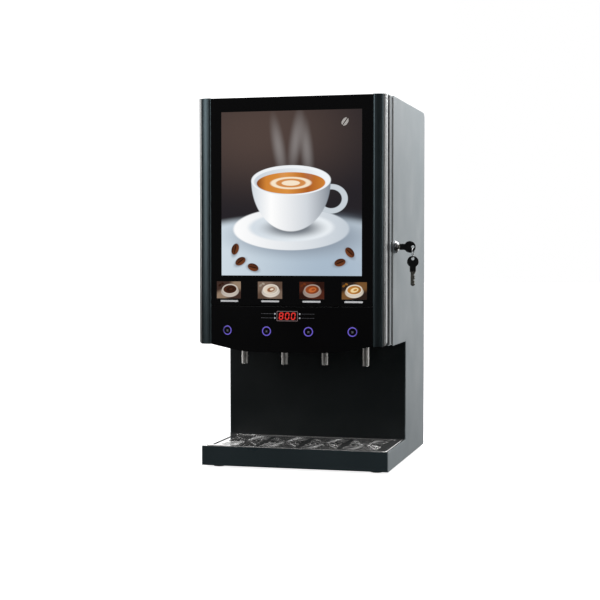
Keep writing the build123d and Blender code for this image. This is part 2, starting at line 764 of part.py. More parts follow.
board_front = 5
post_gap = 11.65
with BuildPart() as control_board:
    block((-130, 130), (board_front, board_front + 1.6), (240, 295))
    for x in station_x:
        post_tip = button_plane(x).offset(-post_gap)
        inward = post_tip.z_dir * -1
        rod(tuple(post_tip.origin), inward, 3, (board_front + 0.8 - post_tip.origin.Y) / inward.Y)
    for x in (-78.2, 78.2):
        for z in (246, 289):
            rod((x, -15.3, z), back, 2.5, board_front + 15.3)
    block((-20, 20), (board_front - 8, board_front), (243, 251))
    for x in (-60, 60):
        block((x - 7, x + 7), (board_front - 2, board_front), (262, 276))
write(control_board, "control_board")

# ---- what joins the door to the case ----

with BuildPart() as hinge_door_leaves:
    for z in hinge_heights:
        rod((hinge_x, hinge_y, z - 10), up, knuckle_radius, 20)
        block((-door_half - 1.5, -door_half), (28, 56), (z - 30, z + 30))
        block((-door_half - 1.5, -door_half), (56, hinge_y), (z - 10, z + 10))
    for z in hinge_heights:
        rod((hinge_x, hinge_y, z - 11), up, hinge_pin_radius + running_fit, 22, Mode.SUBTRACT)
write(hinge_door_leaves, "hinge_door_leaves")

with BuildPart() as lock_catch:
    block((160, 172), (door_back, door_back + 1.5), (lock_z + 10.5, lock_z + 18))
    block((160, 161.5), (door_back, 83.5), (lock_z + 10.5, lock_z + 18))
    block((156.5, 161.5), (82, 83.5), (lock_z + 10.5, lock_z + 18))
write(lock_catch, "lock_catch")
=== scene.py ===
"""Looks of a countertop hot drinks vending machine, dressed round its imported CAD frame."""

import math

import bmesh
import bpy
from mathutils import Matrix, Vector


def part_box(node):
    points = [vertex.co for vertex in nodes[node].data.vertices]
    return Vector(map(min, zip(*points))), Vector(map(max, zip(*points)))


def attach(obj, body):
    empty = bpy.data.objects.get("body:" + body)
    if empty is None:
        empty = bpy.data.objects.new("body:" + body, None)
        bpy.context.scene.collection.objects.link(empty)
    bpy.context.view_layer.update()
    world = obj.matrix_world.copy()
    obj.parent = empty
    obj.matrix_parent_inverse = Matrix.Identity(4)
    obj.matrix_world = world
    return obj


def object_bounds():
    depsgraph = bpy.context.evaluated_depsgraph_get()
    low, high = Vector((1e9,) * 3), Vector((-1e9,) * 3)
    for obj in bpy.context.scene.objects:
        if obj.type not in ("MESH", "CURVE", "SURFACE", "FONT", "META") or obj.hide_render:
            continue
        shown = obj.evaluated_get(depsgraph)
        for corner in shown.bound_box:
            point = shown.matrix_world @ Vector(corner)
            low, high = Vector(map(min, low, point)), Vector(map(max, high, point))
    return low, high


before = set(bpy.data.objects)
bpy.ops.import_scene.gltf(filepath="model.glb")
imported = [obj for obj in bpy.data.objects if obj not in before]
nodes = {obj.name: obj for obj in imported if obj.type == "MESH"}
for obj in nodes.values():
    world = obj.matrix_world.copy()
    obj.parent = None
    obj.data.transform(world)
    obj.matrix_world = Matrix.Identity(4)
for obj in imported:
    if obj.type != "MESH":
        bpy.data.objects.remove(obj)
cad_low, cad_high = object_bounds()
MM = 0.001

# ================= node tree helpers =================


def add_node(tree, kind, inputs=None, **settings):
    """A shader node with its settings, and with inputs given as values or as sockets to link."""
    made = tree.nodes.new("ShaderNode" + kind)
    for name, value in settings.items():
        setattr(made, name, value)
    for key, value in (inputs or {}).items():
        if isinstance(value, bpy.types.NodeSocket):
            tree.links.new(value, made.inputs[key])
        else:
            made.inputs[key].default_value = value
    return made


def coordinates(tree, scale=(1, 1, 1)):
    """Object coordinates in metres, stretched by scale."""
    source = add_node(tree, "TexCoord").outputs["Object"]
    return add_node(tree, "Mapping", {"Vector": source, "Scale": scale}).outputs["Vector"]


def noise(tree, vector, scale, detail=2.0, distortion=0.0):
    """Noise of a scale in cells per metre, from 0 to 1."""
    made = add_node(tree, "TexNoise", {"Vector": vector, "Scale": scale, "Detail": detail,
                                       "Distortion": distortion})
    return made.outputs["Fac"]


def remap(tree, value, low, high, to_low=0.0, to_high=1.0, smooth=False):
    """A value stretched from one range to another and clamped."""
    kind = "SMOOTHSTEP" if smooth else "LINEAR"
    made = add_node(tree, "MapRange", {"Value": value, "From Min": low, "From Max": high,
                                       "To Min": to_low, "To Max": to_high}, interpolation_type=kind)
    return made.outputs["Result"]


def blend_colors(tree, factor, first, second, mode="MIX"):
    """One colour laid over another by a factor."""
    made = tree.nodes.new("ShaderNodeMix")
    made.data_type = "RGBA"
    made.blend_type = mode
    for key, value in (("Factor", factor), ("A", first), ("B", second)):
        socket = next(s for s in made.inputs if s.name == key and s.enabled)
        if isinstance(value, bpy.types.NodeSocket):
            tree.links.new(value, socket)
        elif key == "Factor":
            socket.default_value = value
        else:
            socket.default_value = (*value, 1.0)
    return next(s for s in made.outputs if s.enabled)


def calc(tree, operation, first, second=0.0):
    """Arithmetic on two values."""
    made = add_node(tree, "Math", operation=operation)
    for index, value in enumerate((first, second)):
        if isinstance(value, bpy.types.NodeSocket):
            tree.links.new(value, made.inputs[index])
        else:
            made.inputs[index].default_value = value
    return made.outputs["Value"]


def shaded(color, factor):
    """A colour made lighter or darker."""
    return tuple(min(1.0, part * factor) for part in color)


def blank_material(name):
    """Material with a principled shader wired to its output, and nothing else."""
    material = bpy.data.materials.new(name)
    material.use_nodes = True
    tree = material.node_tree
    tree.nodes.clear()
    shader = add_node(tree, "BsdfPrincipled")
    output = add_node(tree, "OutputMaterial")
    tree.links.new(shader.outputs["BSDF"], output.inputs["Surface"])
    return material, tree, shader


def surface(name, color, rough, metallic=0.0, specular=0.5, coat=0.0, grain=900, grain_depth=0.02,
            blotch=9, blotch_amount=0.08, streak=None, streak_amount=0.0, edge=0.5, edge_color=None,
            edge_radius=0.7, transmission=0.0, alpha=1.0, sheen=0.0):
    """Solid finish with blotches, streaks, a fine grain, and softened edges whose colour is lightened partly
    as wear and partly as a painted highlight.

    grain is in cells per metre and grain_depth in millimetres; edge_radius is in millimetres, and 0
    leaves the edges sharp.
    """
    material, tree, shader = blank_material(name)
    plain = coordinates(tree)
    large = noise(tree, plain, blotch, 3)
    tint = remap(tree, large, 0.3, 0.7)
    base = blend_colors(tree, tint, shaded(color, 1 - blotch_amount), shaded(color, 1 + blotch_amount))
    rough_wave = noise(tree, plain, blotch * 4, 4)
    if streak:
        lines = noise(tree, coordinates(tree, streak), 1.0, 3)
        line_mask = remap(tree, lines, 0.3, 0.7)
        base = blend_colors(tree, calc(tree, "MULTIPLY", line_mask, streak_amount), base, shaded(color, 1.5))
        rough_wave = calc(tree, "ADD", calc(tree, "MULTIPLY", rough_wave, 0.4),
                          calc(tree, "MULTIPLY", lines, 0.6))
    fine = noise(tree, plain, grain, 2)
    height = fine
    if streak:
        height = calc(tree, "ADD", calc(tree, "MULTIPLY", lines, 0.8), calc(tree, "MULTIPLY", fine, 0.2))
    bump = add_node(tree, "Bump", {"Height": height, "Distance": grain_depth * MM, "Strength": 1.0})
    if edge_radius:
        soft = add_node(tree, "Bevel", {"Radius": edge_radius * MM}, samples=4)
        geometry = add_node(tree, "NewGeometry")
        facing = add_node(tree, "VectorMath", {0: soft.outputs["Normal"], 1: geometry.outputs["Normal"]},
                          operation="DOT_PRODUCT").outputs["Value"]
        scuffs = noise(tree, plain, 60, 4)
        # Edge colour: edges are lightened towards edge_color, partly as wear broken up by scuffs and partly
        # as a painted highlight along every edge.
        edge_mask = remap(tree, facing, 0.99, 0.80)
        edge_wear_and_highlight = calc(tree, "MULTIPLY", edge_mask, remap(tree, scuffs, 0.35, 0.65, 0.3, 1.0))
        edge_wear_and_highlight = calc(tree, "MULTIPLY", edge_wear_and_highlight, edge)
        base = blend_colors(tree, edge_wear_and_highlight, base, edge_color or shaded(color, 1.6))
        tree.links.new(soft.outputs["Normal"], bump.inputs["Normal"])
    tree.links.new(base, shader.inputs["Base Color"])
    tree.links.new(remap(tree, rough_wave, 0.3, 0.7, rough * 0.85, min(1.0, rough * 1.15)),
                   shader.inputs["Roughness"])
    tree.links.new(bump.outputs["Normal"], shader.inputs["Normal"])
    shader.inputs["Metallic"].default_value = metallic
    shader.inputs["Specular IOR Level"].default_value = specular
    shader.inputs["Coat Weight"].default_value = coat
    shader.inputs["Coat Roughness"].default_value = 0.08
    shader.inputs["Transmission Weight"].default_value = transmission
    shader.inputs["Alpha"].default_value = alpha
    shader.inputs["Sheen Weight"].default_value = sheen
    return material


def dress(material, *names):
    """Give one material to CAD nodes."""
    for name in names:
        mesh = nodes[name].data
        mesh.materials.clear()
        mesh.materials.append(material)


def dress_faces(name, materials, chooser):
    """Give the faces of a CAD node the material that chooser picks from each face's middle and normal."""
    mesh = nodes[name].data
    mesh.materials.clear()
    for material in materials:
        mesh.materials.append(material)
    for face in mesh.polygons:
        face.material_index = chooser(face.center, face.normal)


# ================= finishes =================

case_grey = surface("case_grey", (0.25, 0.29, 0.31), 0.42, grain=1400, grain_depth=0.02, blotch=3,
                    blotch_amount=0.05, edge_radius=0.9)
case_dark = surface("case_dark", (0.040, 0.058, 0.066), 0.30, specular=0.5, grain=1400, grain_depth=0.012,
                    blotch=4, blotch_amount=0.12, edge=0.35, edge_color=(0.10, 0.12, 0.13))
# Same paint as case_dark, made about three times darker for the splash back and the underside above the cup
# bay: painted shade of that recess.
bay_shaded_black = surface("bay_shaded_black", (0.012, 0.0165, 0.018), 0.34, specular=0.5, grain=1400, grain_depth=0.010,
                    blotch=4, blotch_amount=0.06, edge=0.3, edge_color=(0.06, 0.07, 0.075))
zinc = surface("zinc_plate", (0.50, 0.51, 0.52), 0.38, metallic=0.9, grain=300, grain_depth=0.02, blotch=45,
               blotch_amount=0.16)
foot_rubber = surface("foot_rubber", (0.018, 0.018, 0.018), 0.8, grain=2500, grain_depth=0.06, edge=0.2)
hinge_steel = surface("hinge_steel", (0.45, 0.46, 0.48), 0.32, metallic=1.0, streak=(40, 40, 900),
                      streak_amount=0.25, grain_depth=0.01)
chrome = surface("lock_chrome", (0.62, 0.62, 0.63), 0.12, metallic=1.0, grain=700, grain_depth=0.004,
                 blotch=60, edge=0.3)
key_black = surface("key_black", (0.012, 0.012, 0.013), 0.38, grain=2600, grain_depth=0.03, edge=0.4,
                    edge_color=(0.09, 0.09, 0.09))
key_steel = surface("key_steel", (0.58, 0.56, 0.50), 0.25, metallic=1.0, streak=(900, 40, 900),
                    streak_amount=0.3, grain_depth=0.01)
canister_plastic = surface("canister_plastic", (0.62, 0.64, 0.63), 0.42, grain=1800, grain_depth=0.03,
                           blotch=8, edge=0.3)
lid_plastic = surface("lid_plastic", (0.05, 0.055, 0.06), 0.45, grain=1800, grain_depth=0.05)
auger_plastic = surface("auger_plastic", (0.74, 0.74, 0.70), 0.35, grain=1500, blotch=30)
motor_metal = surface("motor_metal", (0.33, 0.34, 0.35), 0.35, metallic=1.0, streak=(60, 1200, 60),
                      streak_amount=0.2, grain_depth=0.01)
bowl_plastic = surface("bowl_plastic", (0.66, 0.67, 0.66), 0.25, grain=1600, grain_depth=0.015, blotch=14)
impeller_plastic = surface("impeller_plastic", (0.03, 0.03, 0.032), 0.35, grain=1500)
nozzle_steel = surface("nozzle_steel", (0.92, 0.90, 0.86), 0.32, metallic=1.0, grain=900, grain_depth=0.001,
                       blotch=40, edge_radius=0)
boiler_foam = surface("boiler_foam", (0.07, 0.075, 0.08), 0.75, grain=700, grain_depth=0.25, blotch=18,
                      blotch_amount=0.2)
valve_plastic = surface("valve_plastic", (0.66, 0.66, 0.63), 0.4, grain=1500)
hose_silicone = surface("hose_silicone", (0.70, 0.71, 0.68), 0.3, grain=900, grain_depth=0.02)
board_green = surface("board_green", (0.01, 0.10, 0.045), 0.35, coat=0.3, grain=1200, grain_depth=0.03,
                      blotch=120, blotch_amount=0.3)
supply_plate = surface("supply_plate", (0.55, 0.56, 0.57), 0.4, metallic=0.9, grain=350, grain_depth=0.02,
                       blotch=40)
inlet_black = surface("inlet_black", (0.015, 0.015, 0.016), 0.5, grain=2200, grain_depth=0.05)
rocker_black = surface("rocker_black", (0.012, 0.012, 0.013), 0.28, grain=2400, grain_depth=0.02)
inlet_brass = surface("inlet_brass", (0.66, 0.46, 0.20), 0.25, metallic=1.0, streak=(300, 900, 300),
                      streak_amount=0.2, grain_depth=0.01)
screw_steel = surface("screw_steel", (0.42, 0.42, 0.43), 0.3, metallic=1.0, grain=1200, blotch=90)
# The tray's edges, the grid's slot edges among them, are lightened towards a pale edge colour as a painted
# highlight.
tray_steel = surface("tray_steel", (0.80, 0.80, 0.795), 0.13, metallic=0.9, streak=(12, 900, 900),
                     streak_amount=0.1, grain_depth=0.003, blotch=12, blotch_amount=0.03,
                     edge_color=(0.85, 0.85, 0.84))
door_grey = surface("door_grey", (0.205, 0.238, 0.255), 0.40, grain=1400, grain_depth=0.02, blotch=4)
trim_dark = surface("trim_dark", (0.095, 0.125, 0.137), 0.34, metallic=1.0, streak=(900, 900, 8),
                    streak_amount=0.2, grain_depth=0.004, edge=0.4, edge_color=(0.4, 0.42, 0.43))
trim_bright = surface("trim_bright", (0.52, 0.53, 0.53), 0.30, metallic=1.0, streak=(900, 900, 8),
                      streak_amount=0.2, grain_depth=0.004)
# The glass's edges are lightened to a pale teal as a painted highlight.
black_glass = surface("black_glass", (0.006, 0.006, 0.0065), 0.06, specular=0.2, grain=400,
                      grain_depth=0.0005, blotch=5, edge=0.5, edge_color=(0.05, 0.07, 0.07), edge_radius=0.5)
box_white = surface("box_white", (0.80, 0.80, 0.79), 0.5, grain=1500, grain_depth=0.02)
# The bowed panel's edges, its top edge among them, are lightened to grey as a painted highlight.
panel_black = surface("panel_black", (0.006, 0.006, 0.0065), 0.12, specular=0.15, grain=600,
                      grain_depth=0.002, edge=0.4, edge_color=(0.06, 0.06, 0.065), edge_radius=0.9)
button_black = surface("button_black", (0.004, 0.004, 0.006), 0.15, specular=0.3, grain=900,
                       grain_depth=0.004)

dress(case_grey, "side_panel_left", "side_panel_right", "top_panel", "rear_panel")
dress(case_dark, "base_pan")
dress(bay_shaded_black, "splash_back", "underside_panel")
dress(zinc, "inner_chassis")
dress(foot_rubber, "rubber_feet")
dress(hinge_steel, "hinge_body_leaves", "hinge_door_leaves", "lock_catch")
dress(chrome, "lock_housing", "lock_plug", "key_ring")
dress(lid_plastic, "canister_lids")
dress(motor_metal, "dosing_motors", "mixer_motors")
dress(bowl_plastic, "mixing_bowls")
dress(nozzle_steel, "nozzles")
dress(boiler_foam, "boiler")
dress(valve_plastic, "water_valves")
dress(hose_silicone, "water_hoses")
dress(board_green, "main_board", "control_board")
dress(supply_plate, "power_supply")
dress(inlet_black, "power_inlet")
dress(rocker_black, "power_rocker")
dress(inlet_brass, "water_inlet")
dress(screw_steel, "panel_screws")
dress(tray_steel, "drip_tray", "drip_grid")
dress(door_grey, "door_shell")
dress(black_glass, "front_glass")
dress(box_white, "light_box")
dress(panel_black, "control_panel")
for number in range(1, 5):
    dress(canister_plastic, f"canister_{number}")
    dress(auger_plastic, f"auger_{number}")
    dress(impeller_plastic, f"impeller_{number}")
    dress(button_black, f"button_{number}")

# ================= lit and printed surfaces =================


def srgb(red, green, blue):
    """Linear colour from the 0 to 255 values of a screen colour."""
    parts = []
    for part in (red, green, blue):
        part /= 255
        parts.append(part / 12.92 if part <= 0.04045 else ((part + 0.055) / 1.055) ** 2.4)
    return tuple(parts)


def glow(name, color, strength, base=None, rough=0.25):
    """Lit plastic: its light varies a little over the surface."""
    material, tree, shader = blank_material(name)
    plain = coordinates(tree)
    wave = remap(tree, noise(tree, plain, 180, 3), 0.3, 0.7)
    lit = blend_colors(tree, wave, shaded(color, 0.88), color)
    tree.links.new(lit, shader.inputs["Emission Color"])
    tree.links.new(blend_colors(tree, wave, shaded(base or color, 0.9), base or color),
                   shader.inputs["Base Color"])
    shader.inputs["Emission Strength"].default_value = strength
    shader.inputs["Roughness"].default_value = rough
    return material


class Painting:
    """Picture painted in layers of soft masks, measured in millimetres from its lower left corner."""

    def __init__(self, name, corner, ground):
        self.material, self.tree, self.shader = blank_material(name)
        source = add_node(self.tree, "TexCoord").outputs["Object"]
        flat = {"Vector": source, "Location": (corner.x, corner.y, corner.z), "Scale": (MM, 1000, MM)}
        self.place = add_node(self.tree, "Mapping", flat, vector_type="TEXTURE").outputs["Vector"]
        self.paint = blend_colors(self.tree, 0.0, ground, ground)

    def local(self, centre, radii, tilt=0.0):
        """Coordinates that run from -1 to 1 across an ellipse, tilted anticlockwise in degrees."""
        inputs = {"Vector": self.place, "Location": (centre[0], 0, centre[1]),
                  "Rotation": (0, -math.radians(tilt), 0), "Scale": (radii[0], 1, radii[1])}
        return add_node(self.tree, "Mapping", inputs, vector_type="TEXTURE").outputs["Vector"]

    def part(self, vector, axis):
        """One coordinate of a vector."""
        return add_node(self.tree, "SeparateXYZ", {"Vector": vector}).outputs[axis]

    def inside(self, vector, soft):
        """Mask that is 1 inside the ellipse, with a soft edge."""
        reach = add_node(self.tree, "VectorMath", {0: vector}, operation="LENGTH").outputs["Value"]
        return remap(self.tree, reach, 1 + soft, 1 - soft, smooth=True)

    def ramp(self, value, stops):
        """Colour read along a value from 0 to 1."""
        made = add_node(self.tree, "ValToRGB", {"Fac": value})
        band = made.color_ramp
        while len(band.elements) < len(stops):
            band.elements.new(0.5)
        for element, (at, color) in zip(band.elements, stops):
            element.position = at
            element.color = (*color, 1.0)
        return made.outputs["Color"]

    def lay(self, mask, color, opacity=1.0):
        """Paint a colour over what is there."""
        if opacity < 1:
            mask = calc(self.tree, "MULTIPLY", mask, opacity)
        self.paint = blend_colors(self.tree, mask, self.paint, color)

    def blob(self, centre, radii, tilt, soft, first, second=None, along="X", opacity=1.0):
        """Soft ellipse of one colour, or running from one colour to a second along an axis."""
        vector = self.local(centre, radii, tilt)
        mask = self.inside(vector, soft)
        color = first
        if second is not None:
            run = remap(self.tree, self.part(vector, along), -1, 1)
            color = self.ramp(run, ((0, first), (1, second)))
        self.lay(mask, color, opacity)

    def finish(self, strength):
        """Light the picture from behind and give it a printed grain and a glossy face."""
        tree = self.tree
        grain = remap(tree, noise(tree, self.place, 2.5, 2), 0.3, 0.7, 0.96, 1.04)
        shade = add_node(tree, "CombineXYZ", {"X": grain, "Y": grain, "Z": grain}).outputs["Vector"]
        lit = blend_colors(tree, 1.0, self.paint, shade, "MULTIPLY")
        tree.links.new(lit, self.shader.inputs["Emission Color"])
        tree.links.new(blend_colors(tree, 0.9, lit, (0.0, 0.0, 0.0)), self.shader.inputs["Base Color"])
        self.shader.inputs["Emission Strength"].default_value = strength
        self.shader.inputs["Roughness"].default_value = 0.12
        self.shader.inputs["Specular IOR Level"].default_value = 0.15
        return self.material


picture_size = (262, 297)
cream = srgb(244, 230, 205)
caramel = srgb(204, 128, 52)
espresso = srgb(122, 58, 22)
white_china = srgb(236, 240, 243)


def coffee_picture(corner):
    """A cup of coffee on a saucer with a few beans, on a pale table in front of a dark wall."""
    wall, table, table_shade = srgb(37, 34, 38), srgb(203, 215, 224), srgb(140, 152, 166)
    china_light, china_dim = srgb(250, 250, 250), srgb(206, 211, 217)
    steam, bean_brown, bean_dark = srgb(214, 212, 212), srgb(112, 62, 34), srgb(58, 30, 18)
    middle_x, rim_z, rim_half, rim_rise = 131, 172, 74, 27
    coffee_z, saucer_z = rim_z - 5, 84

    art = Painting("lit_picture", corner, wall)
    art.blob((70, 262), (150, 84), 0, 0.9, srgb(96, 78, 70), opacity=0.6)
    art.blob((middle_x, 0), (300, 106), 0, 0.08, table)
    art.blob((210, 12), (120, 60), 0, 0.9, srgb(146, 166, 186), opacity=0.7)
    art.blob((150, saucer_z - 12), (116, 34), 0, 0.5, table_shade)

    art.blob((middle_x, saucer_z), (108, 38), 0, 0.03, china_light, srgb(192, 201, 210))
    art.blob((middle_x, saucer_z + 3), (78, 25), 0, 0.1, srgb(208, 217, 225), srgb(232, 237, 241))
    art.blob((middle_x + 4, saucer_z + 2), (46, 14), 0, 0.6, srgb(112, 118, 126))

    handle = art.local((206, 138), (31, 27))
    reach = add_node(art.tree, "VectorMath", {0: handle}, operation="LENGTH").outputs["Value"]
    off_middle = calc(art.tree, "ABSOLUTE", calc(art.tree, "SUBTRACT", reach, 0.8))
    art.lay(remap(art.tree, off_middle, 0.2, 0.15, smooth=True), srgb(196, 204, 211))

    bowl = art.local((middle_x, rim_z), (rim_half, 92))
    below_rim = remap(art.tree, art.part(art.place, "Z"), rim_z + 1, rim_z - 1)
    across = remap(art.tree, art.part(bowl, "X"), -1, 1)
    art.lay(calc(art.tree, "MULTIPLY", art.inside(bowl, 0.015), below_rim),
            art.ramp(across, ((0.0, srgb(206, 213, 220)), (0.25, china_light),
                              (0.7, china_dim), (1.0, srgb(126, 134, 144)))))
    art.blob((middle_x, rim_z), (rim_half, rim_rise), 0, 0.02, white_china)
    art.blob((middle_x, rim_z - 2), (69, 23.5), 0, 0.03, srgb(198, 206, 214), srgb(238, 242, 245))

    coffee = art.local((middle_x, coffee_z), (64, 19.5))
    along = remap(art.tree, art.part(coffee, "X"), -1, 1)
    art.lay(art.inside(coffee, 0.02),
            art.ramp(along, ((0.0, espresso), (0.14, caramel), (0.45, srgb(214, 142, 64)),
                             (0.75, srgb(170, 92, 36)), (1.0, caramel))))
    for half, rise, tone in ((38, 11, cream), (28, 8, caramel), (17, 4.8, cream)):
        art.blob((middle_x, coffee_z), (half, rise), 0, 0.08, tone, opacity=0.93)

    for steam_x, steam_z, lean in ((108, 232, 10), (140, 242, -8), (160, 228, 6)):
        art.blob((steam_x, steam_z), (8, 38), lean, 0.95, steam, opacity=0.22)
    for bean_x, bean_z, tilt in ((36, 26, 30), (60, 15, -20), (26, 48, 70), (222, 24, 15), (240, 42, -50)):
        art.blob((bean_x, bean_z - 2), (12, 6), tilt, 0.5, srgb(132, 142, 152))
        art.blob((bean_x, bean_z), (10.5, 6.8), tilt, 0.06, bean_brown, bean_dark, along="Z")
        art.blob((bean_x, bean_z), (9, 0.9), tilt + 8, 0.3, srgb(36, 18, 12))
    return art.finish(1.0)


def drink_picture(name, corner, ground, shadow, china, drink, top):
    """Small picture of one drink seen from above."""
    art = Painting(name, corner, ground)
    art.blob((8, 5), (15, 9), 20, 0.5, shadow)
    art.blob((40, 26), (13, 10), -20, 0.5, shadow)
    art.blob((24, 13), (17, 10.5), 4, 0.06, china, shaded(china, 0.45), along="Z")
    art.blob((24, 17), (15, 9.4), 4, 0.05, china)
    art.blob((24, 16.8), (12.6, 7.5), 4, 0.05, drink, shaded(drink, 0.6))
    art.blob((24.5, 16.6), (7.4, 4.2), 14, 0.15, top)
    art.blob((26, 17), (3.6, 1.8), 14, 0.2, drink)
    art.blob((5, 24), (3.2, 2.0), 35, 0.2, shaded(drink, 0.4))
    art.blob((10, 27), (2.8, 1.8), -20, 0.2, shaded(drink, 0.5))
    return art.finish(0.9)


# ================= places, from the frame =================

glass_low, glass_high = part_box("front_glass")
case_x = (glass_low.x + glass_high.x) / 2
glass_y = glass_low.y
film_low, film_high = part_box("poster_film")
panel_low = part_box("control_panel")[0]
lens_low, lens_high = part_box("display_module")
drinks = []
for number in range(1, 5):
    button_low, button_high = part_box(f"button_{number}")
    drinks.append((button_low + button_high) / 2)


def at(x, y, z):
    """Place in metres of a point in millimetres: across from the middle, back from the glass, up."""
    return Vector((case_x + x * MM, glass_y + y * MM, z * MM))


# ================= dressing by face =================

key_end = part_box("key")[1].x
spare_key_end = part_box("spare_key")[1].z
key_head_length = 26 * MM
dress_faces("key", (key_black, key_steel), lambda centre, normal: int(centre.x < key_end - key_head_length))
dress_faces("spare_key", (key_black, key_steel),
            lambda centre, normal: int(centre.z < spare_key_end - key_head_length))

bead_edge = 169.2 * MM
dress_faces("tray_surround", (case_dark, tray_steel), lambda centre, normal: int(normal.z > 0.5))
for name in ("trim_left", "trim_right"):
    dress_faces(name, (trim_dark, trim_bright),
                lambda centre, normal: int(abs(centre.x - case_x) > bead_edge))

film_edge = surface("film_edge", (0.02, 0.02, 0.022), 0.4, grain=1200)
poster_corner = Vector((case_x - picture_size[0] / 2 * MM, film_low.y, film_high.z - picture_size[1] * MM))
drink_size = (46, 31)
drink_corners = [Vector((drink.x - drink_size[0] / 2 * MM, film_low.y, film_low.z)) for drink in drinks]
coffee_black = drink_picture("lit_coffee", drink_corners[0], srgb(64, 46, 40), srgb(150, 128, 108),
                             srgb(206, 196, 186), srgb(70, 38, 24), srgb(44, 24, 16))
coffee_milk = drink_picture("lit_cappuccino", drink_corners[1], srgb(124, 104, 90), srgb(92, 72, 60),
                            srgb(226, 216, 204), srgb(232, 216, 196), srgb(146, 98, 66))
chocolate = drink_picture("lit_chocolate", drink_corners[2], srgb(78, 38, 26), srgb(44, 22, 16),
                          srgb(168, 150, 140), srgb(150, 74, 38), srgb(196, 104, 52))
latte = drink_picture("lit_latte", drink_corners[3], srgb(44, 32, 26), srgb(120, 84, 48),
                      srgb(226, 216, 200), srgb(196, 132, 56), srgb(240, 214, 160))
film_faces = (film_edge, coffee_picture(poster_corner), coffee_black, coffee_milk, chocolate, latte)


def film_zone(centre, normal):
    """Which picture a face of the film shows: the large one, or the one above a button."""
    if normal.y > -0.5:
        return 0
    if centre.z > poster_corner.z:
        return 1
    nearest = min(range(4), key=lambda index: abs(centre.x - drinks[index].x))
    return 2 + nearest


dress_faces("poster_film", film_faces, film_zone)

# The lens's edges are lightened to a dim red as a painted highlight.
display_red = surface("display_red", (0.012, 0.0015, 0.002), 0.12, specular=0.3, grain=600, grain_depth=0.002,
                      edge=0.3, edge_color=(0.06, 0.02, 0.02))
dress(display_red, "display_module")
ring_side = surface("ring_side", (0.02, 0.018, 0.03), 0.3, grain=900)
dress(ring_side, "button_rings")

# ================= small printed and lit pieces =================

bow_depth = glass_y - panel_low.y
bow_half = (glass_high.x - glass_low.x) / 2
bow_radius = (bow_half**2 + bow_depth**2) / (2 * bow_depth)
bow_centre_y = panel_low.y + bow_radius
button_height = drinks[0].z
relief = 0.12


class Plate:
    """Plane on the front of the door where flat outlines are raised a little."""

    def __init__(self, origin, turn=0.0):
        self.origin = origin
        self.across = Vector((math.cos(turn), math.sin(turn), 0))
        self.outward = Vector((math.sin(turn), -math.cos(turn), 0))

    def spot(self, x, z, lift):
        """Place of a point given in millimetres across, up and outwards."""
        return self.origin + (self.across * x + Vector((0, 0, z)) + self.outward * lift) * MM


def bow_plate(x, z, lift=0.0):
    """Plate on the bowed control panel, at millimetres across and up."""
    turn = math.asin(x * MM / bow_radius)
    y = bow_centre_y - bow_radius * math.cos(turn)
    plate = Plate(Vector((case_x + x * MM, y, z * MM)), turn)
    plate.origin = plate.spot(0, 0, lift)
    return plate


def rounded(width, height, radius, x=0.0, z=0.0, steps=4):
    """Outline of a rectangle with round corners, anticlockwise."""
    points = []
    for corner, (side_x, side_z) in enumerate(((1, 1), (-1, 1), (-1, -1), (1, -1))):
        for step in range(steps + 1):
            angle = math.pi / 2 * (corner + step / steps)
            points.append((x + side_x * (width / 2 - radius) + radius * math.cos(angle),
                           z + side_z * (height / 2 - radius) + radius * math.sin(angle)))
    return points


def oval(width, height, tilt=0.0, x=0.0, z=0.0, steps=24):
    """Outline of an ellipse, tilted anticlockwise in degrees."""
    points = []
    for step in range(steps):
        angle = 2 * math.pi * step / steps
        spot = Matrix.Rotation(math.radians(tilt), 2) @ Vector((width / 2 * math.cos(angle),
                                                                height / 2 * math.sin(angle)))
        points.append((x + spot.x, z + spot.y))
    return points


def sector(inner, outer, start, end, x=0.0, z=0.0, steps=12):
    """Outline of part of a flat ring, from one angle to another in degrees."""
    angles = [math.radians(start + (end - start) * step / steps) for step in range(steps + 1)]
    ahead = [(x + outer * math.cos(angle), z + outer * math.sin(angle)) for angle in angles]
    back = [(x + inner * math.cos(angle), z + inner * math.sin(angle)) for angle in reversed(angles)]
    return ahead + back


def raise_outline(mesh, plate, outline, hole=None, lift=relief):
    """Add a flat raised solid with this outline, and with a hole of as many points if one is given."""
    rings = []
    for points, height in ((outline, lift), (outline, 0.0), (hole or (), 0.0), (hole or (), lift)):
        rings.append([mesh.verts.new(plate.spot(x, z, height)) for x, z in points])
    front, back, hole_back, hole_front = rings
    count = len(front)
    for index in range(count):
        after = (index + 1) % count
        mesh.faces.new((front[index], back[index], back[after], front[after]))
        if hole:
            mesh.faces.new((hole_front[index], hole_front[after], hole_back[after], hole_back[index]))
            mesh.faces.new((front[index], front[after], hole_front[after], hole_front[index]))
            mesh.faces.new((back[after], back[index], hole_back[index], hole_back[after]))
    if not hole:
        mesh.faces.new(front)
        mesh.faces.new(tuple(reversed(back)))


def plus_sign(length, width, steps=32):
    """Outline of a plus sign, with points at even angles to match a round outline."""
    points = []
    for step in range(steps):
        angle = 2 * math.pi * step / steps
        across, upward = abs(math.cos(angle)) + 1e-6, abs(math.sin(angle)) + 1e-6
        reach = max(min(length / across, width / upward), min(width / across, length / upward))
        points.append((reach * math.cos(angle), reach * math.sin(angle)))
    return points


def screw_head(mesh, plate, diameter, lift=0.9):
    """Flat screw head with a cross recess."""
    recess = plus_sign(diameter * 0.3, diameter * 0.09)
    raise_outline(mesh, plate, oval(diameter, diameter, steps=32), recess, lift)


